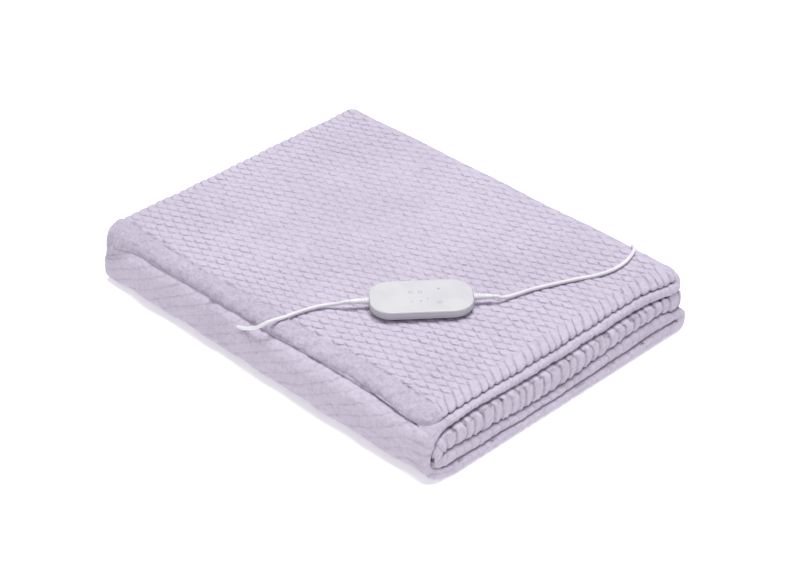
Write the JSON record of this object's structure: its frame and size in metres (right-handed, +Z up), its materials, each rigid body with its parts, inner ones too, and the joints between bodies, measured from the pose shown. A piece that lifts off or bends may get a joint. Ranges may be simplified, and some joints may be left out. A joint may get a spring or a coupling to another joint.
{
  "type": "electric heated blanket",
  "caption": "Plush electric heated blanket folded into a flat stack, with a slim hand control lying on top, its lead into the cloth, and a mains lead coiled behind it with a plug",
  "frame": {"origin": "centre of the folded stack's flat underside, on the surface it rests on", "axes": "+Z up; +X along the stack's long side, toward the end where the ends of the layers show; +Y across the stack, from the side with the hem and the big outer fold to the side with the narrow folds"},
  "size_m": [0.5639, 0.4449, 0.0795],
  "materials": {
    "fleece": "plush fleece, pale lilac grey, quilted in small lens shapes",
    "control_shell": "satin white plastic",
    "cord_vinyl": "soft white vinyl",
    "tie": "plain white band",
    "pin_metal": "nickel-plated brass"
  },
  "bodies": {
    "root": {"blanket": "fleece", "control_base": "control_shell", "control_cover": "control_shell", "relief_lead": "cord_vinyl", "relief_mains": "cord_vinyl", "blanket_lead": "cord_vinyl", "mains_cord": "cord_vinyl", "mains_coil": "cord_vinyl", "mains_tail": "cord_vinyl", "coil_tie": "tie", "plug_body": "cord_vinyl", "plug_pin_1": "pin_metal", "plug_pin_2": "pin_metal"}
  },
  "joints": []
}
